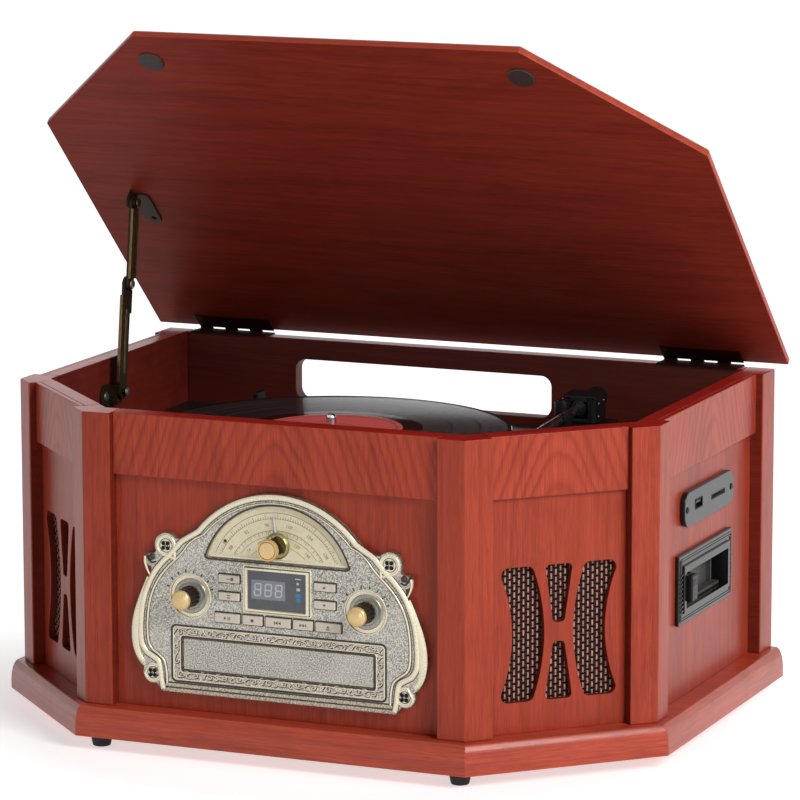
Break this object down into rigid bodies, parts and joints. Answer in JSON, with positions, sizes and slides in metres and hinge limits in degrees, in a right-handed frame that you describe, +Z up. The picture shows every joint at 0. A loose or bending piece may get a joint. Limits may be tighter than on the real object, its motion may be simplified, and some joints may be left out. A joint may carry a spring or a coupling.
{
  "type": "stereo music centre",
  "caption": "Wooden music centre with slanted front corners, a lid on a folding stay over a turntable, a pewter plate with dial, knobs and disc drawer, and a side tape slot.",
  "frame": {"origin": "on the floor under the middle of the cabinet and its control knobs", "axes": "+X the object's right as its user faces it, -Y its front, +Z up"},
  "size_m": [0.49, 0.3577, 0.4764],
  "materials": {
    "cherry_wood": "cherry veneer, satin lacquer",
    "dark_wood": "dark stained veneer, satin",
    "raw_board": "bare board",
    "black_rubber": "matt",
    "speaker_cloth": "coarse woven",
    "speaker_metal": "satin",
    "deck_black": "black painted board",
    "turned_aluminium": "satin turned",
    "mat_rubber": "matt",
    "bright_steel": "bright",
    "record_vinyl": "grooved gloss",
    "pulley_brass": "turned",
    "arm_plastic": "moulded satin",
    "antique_pewter": "antique stippled plate",
    "dial_cream": "printed scale",
    "knob_bronze": "antique bronze with a gold cap",
    "display_glass": "dark glazed window",
    "mechanism_plastic": "moulded",
    "board_green": "circuit board",
    "core_iron": "laminated core",
    "gunmetal": "glossy gunmetal",
    "dark_bronze": "dark bronzed steel",
    "screw_steel": "plated"
  },
  "bodies": {
    "cabinet": {"plinth": "cherry_wood", "bottom_board": "raw_board", "rubber_feet": "black_rubber", "corner_posts": "cherry_wood", "front_panel": "cherry_wood", "speaker_panels": "cherry_wood", "side_panel_left": "cherry_wood", "side_panel_right": "cherry_wood", "back_panel": "dark_wood", "top_rails": "cherry_wood", "speaker_cloths": "speaker_cloth", "speaker_drivers": "speaker_metal", "deck_board": "deck_black", "turntable_motor": "bright_steel", "drive_belt": "mat_rubber", "tonearm_base": "arm_plastic", "arm_rest": "arm_plastic", "escutcheon": "antique_pewter", "dial_scale": "dial_cream", "display_module": "display_glass", "cd_mechanism": "mechanism_plastic", "circuit_board": "board_green", "power_transformer": "core_iron", "media_plate": "gunmetal", "tape_bezel": "gunmetal", "tape_mechanism": "mechanism_plastic", "hinge_lower_leaves": "dark_bronze", "stay_wall_bracket": "dark_bronze", "rear_socket_plate": "arm_plastic", "screws": "screw_steel"},
    "lid": {"lid": "cherry_wood", "lid_bumpers": "black_rubber", "hinge_upper_leaves": "dark_bronze", "stay_lid_bracket": "dark_bronze"},
    "stay_upper": {"stay_upper_arm": "dark_bronze"},
    "stay_lower": {"stay_lower_arm": "dark_bronze"},
    "platter": {"platter": "turned_aluminium", "platter_mat": "mat_rubber", "spindle": "bright_steel"},
    "record": {"record": "record_vinyl"},
    "pulley": {"motor_pulley": "pulley_brass"},
    "arm_turret": {"tonearm_pivot": "arm_plastic"},
    "arm": {"tonearm": "turned_aluminium", "headshell": "arm_plastic"},
    "speed_lever": {"speed_lever": "arm_plastic"},
    "tuning_knob": {"tuning_knob": "knob_bronze", "dial_pointer": "bright_steel"},
    "volume_knob": {"volume_knob": "knob_bronze"},
    "function_knob": {"function_knob": "knob_bronze"},
    "cd_drawer": {"cd_drawer": "antique_pewter"},
    "tape_key": {"tape_key": "arm_plastic"},
    "button_left_upper": {"button_left_upper": "antique_pewter"},
    "button_left_lower": {"button_left_lower": "antique_pewter"},
    "button_right_upper": {"button_right_upper": "antique_pewter"},
    "button_right_lower": {"button_right_lower": "antique_pewter"},
    "button_row_1": {"button_row_1": "antique_pewter"},
    "button_row_2": {"button_row_2": "antique_pewter"},
    "button_row_3": {"button_row_3": "antique_pewter"},
    "button_row_4": {"button_row_4": "antique_pewter"},
    "button_row_5": {"button_row_5": "antique_pewter"}
  },
  "joints": [
    {"name": "lid_hinge", "type": "hinge", "parent": "cabinet", "child": "lid", "pos_m": [0, 0.1706, 0.2289], "axis": [1, 0, 0], "range_deg": [0, 43.4]},
    {"name": "stay_lower_pin", "type": "hinge", "parent": "cabinet", "child": "stay_lower", "pos_m": [-0.2064, 0.0284, 0.207], "axis": [1, 0, 0], "range_deg": [0, 106]},
    {"name": "stay_upper_pin", "type": "hinge", "parent": "lid", "child": "stay_upper", "pos_m": [-0.2039, 0.04531, 0.34063], "axis": [1, 0, 0], "range_deg": [-96.6, 0]},
    {"name": "platter_spin", "type": "hinge", "parent": "cabinet", "child": "platter", "pos_m": [-0.028, -0.006, 0.1845], "axis": [0, 0, 1], "continuous": true},
    {"name": "pulley_spin", "type": "hinge", "parent": "cabinet", "child": "pulley", "pos_m": [-0.0881, 0.0541, 0.1845], "axis": [0, 0, 1], "continuous": true},
    {"name": "record_lift", "type": "slide", "parent": "platter", "child": "record", "axis": [0, 0, 1], "range_m": [0, 0.025]},
    {"name": "tonearm_swing", "type": "hinge", "parent": "cabinet", "child": "arm_turret", "pos_m": [0.118, 0.1, 0.2045], "axis": [0, 0, 1], "range_deg": [-41.1, 0]},
    {"name": "tonearm_lift", "type": "hinge", "parent": "arm_turret", "child": "arm", "pos_m": [0.118, 0.1, 0.2075], "axis": [-0.9963, -0.0854, 0], "range_deg": [0, 5]},
    {"name": "speed_lever_turn", "type": "hinge", "parent": "cabinet", "child": "speed_lever", "pos_m": [-0.14, 0.118, 0.1795], "axis": [0, 0, 1], "range_deg": [-15, 15]},
    {"name": "tuning_turn", "type": "hinge", "parent": "cabinet", "child": "tuning_knob", "pos_m": [0.0022, -0.16, 0.149], "axis": [0, -1, 0], "range_deg": [-88, 72]},
    {"name": "volume_turn", "type": "hinge", "parent": "cabinet", "child": "volume_knob", "pos_m": [-0.0614, -0.16, 0.11], "axis": [0, -1, 0], "range_deg": [-150, 150]},
    {"name": "function_turn", "type": "hinge", "parent": "cabinet", "child": "function_knob", "pos_m": [0.0658, -0.16, 0.11], "axis": [0, -1, 0], "range_deg": [-60, 60]},
    {"name": "button_left_upper_press", "type": "slide", "parent": "cabinet", "child": "button_left_upper", "axis": [0, 1, 0], "range_m": [0, 0.0008], "stiffness_N_per_m": 1000},
    {"name": "button_left_lower_press", "type": "slide", "parent": "cabinet", "child": "button_left_lower", "axis": [0, 1, 0], "range_m": [0, 0.0008], "stiffness_N_per_m": 1000},
    {"name": "button_right_upper_press", "type": "slide", "parent": "cabinet", "child": "button_right_upper", "axis": [0, 1, 0], "range_m": [0, 0.0008], "stiffness_N_per_m": 1000},
    {"name": "button_right_lower_press", "type": "slide", "parent": "cabinet", "child": "button_right_lower", "axis": [0, 1, 0], "range_m": [0, 0.0008], "stiffness_N_per_m": 1000},
    {"name": "button_row_1_press", "type": "slide", "parent": "cabinet", "child": "button_row_1", "axis": [0, 1, 0], "range_m": [0, 0.0008], "stiffness_N_per_m": 1000},
    {"name": "button_row_2_press", "type": "slide", "parent": "cabinet", "child": "button_row_2", "axis": [0, 1, 0], "range_m": [0, 0.0008], "stiffness_N_per_m": 1000},
    {"name": "button_row_3_press", "type": "slide", "parent": "cabinet", "child": "button_row_3", "axis": [0, 1, 0], "range_m": [0, 0.0008], "stiffness_N_per_m": 1000},
    {"name": "button_row_4_press", "type": "slide", "parent": "cabinet", "child": "button_row_4", "axis": [0, 1, 0], "range_m": [0, 0.0008], "stiffness_N_per_m": 1000},
    {"name": "button_row_5_press", "type": "slide", "parent": "cabinet", "child": "button_row_5", "axis": [0, 1, 0], "range_m": [0, 0.0008], "stiffness_N_per_m": 1000},
    {"name": "cd_drawer_slide", "type": "slide", "parent": "cabinet", "child": "cd_drawer", "axis": [0, -1, 0], "range_m": [0, 0.125]},
    {"name": "tape_key_press", "type": "slide", "parent": "cabinet", "child": "tape_key", "axis": [-1, 0, 0], "range_m": [0, 0.004], "stiffness_N_per_m": 1000}
  ],
  "couplings": [
    {"joint": "stay_lower_pin", "follows": "lid_hinge", "ratio": 2.441},
    {"joint": "stay_upper_pin", "follows": "lid_hinge", "ratio": -2.224},
    {"joint": "pulley_spin", "follows": "platter_spin", "ratio": 12.727}
  ]
}
